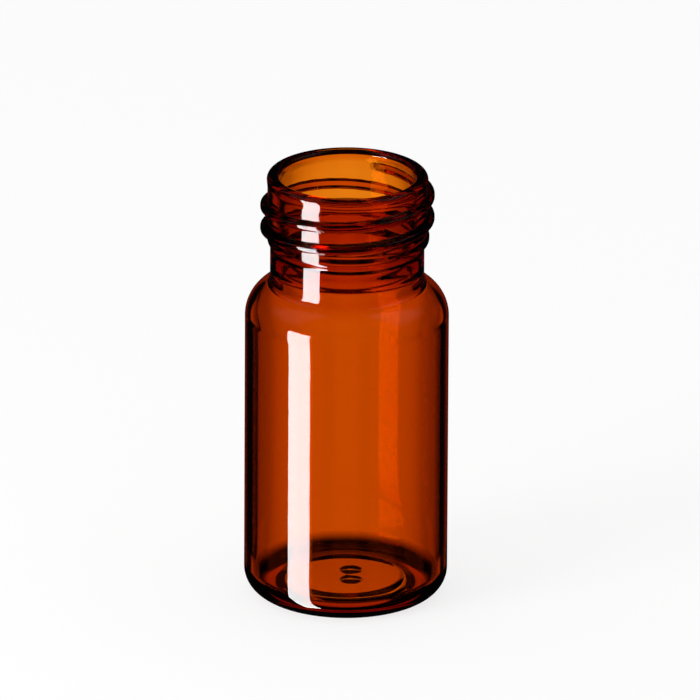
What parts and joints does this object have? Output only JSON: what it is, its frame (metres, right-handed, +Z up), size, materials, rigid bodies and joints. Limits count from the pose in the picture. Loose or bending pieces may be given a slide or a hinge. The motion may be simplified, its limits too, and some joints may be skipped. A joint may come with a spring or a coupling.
{
  "type": "glass sample vial",
  "caption": "Open amber glass sample vial with a round body, rounded shoulder, pushed-up base and a continuous screw thread on the neck for a cap.",
  "frame": {"origin": "middle of the standing ring under the base, in the plane that the vial stands on", "axes": "+Z up along the axis of the vial, out of the mouth; +X is the direction that the thread start is measured from; -Y is the front"},
  "size_m": [0.028, 0.028, 0.061],
  "materials": {
    "amber_glass": "clear, fire-polished"
  },
  "bodies": {
    "root": {"vial": "amber_glass"}
  },
  "joints": []
}
